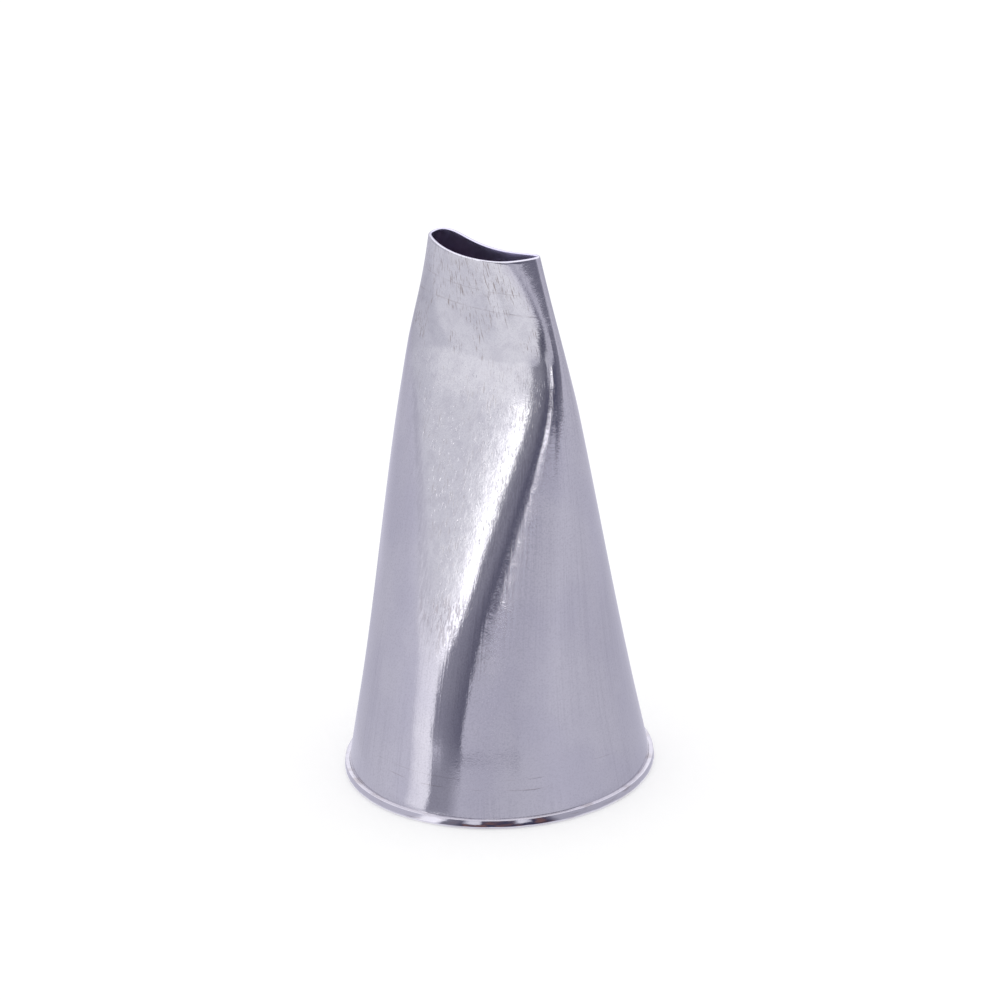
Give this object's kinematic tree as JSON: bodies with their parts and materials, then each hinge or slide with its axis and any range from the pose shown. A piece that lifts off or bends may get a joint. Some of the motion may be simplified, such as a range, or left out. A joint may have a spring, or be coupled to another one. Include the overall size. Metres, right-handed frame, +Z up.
{
  "type": "piping nozzle",
  "caption": "Petal piping nozzle: a thin pressed steel cone with a rolled rim, one face pressed flat, drawn to a curved slot mouth.",
  "frame": {"origin": "centre of the rolled rim's underside, on the surface that the nozzle stands on", "axes": "+Z up the nozzle towards its mouth, +X to the right in the picture, -Y towards the viewer"},
  "size_m": [0.0262, 0.0262, 0.047],
  "materials": {
    "pressed_steel": "bright drawn steel with fine press marks",
    "rim_steel": "bright rolled steel"
  },
  "bodies": {
    "root": {"nozzle_cone": "pressed_steel", "rolled_rim": "rim_steel"}
  },
  "joints": []
}
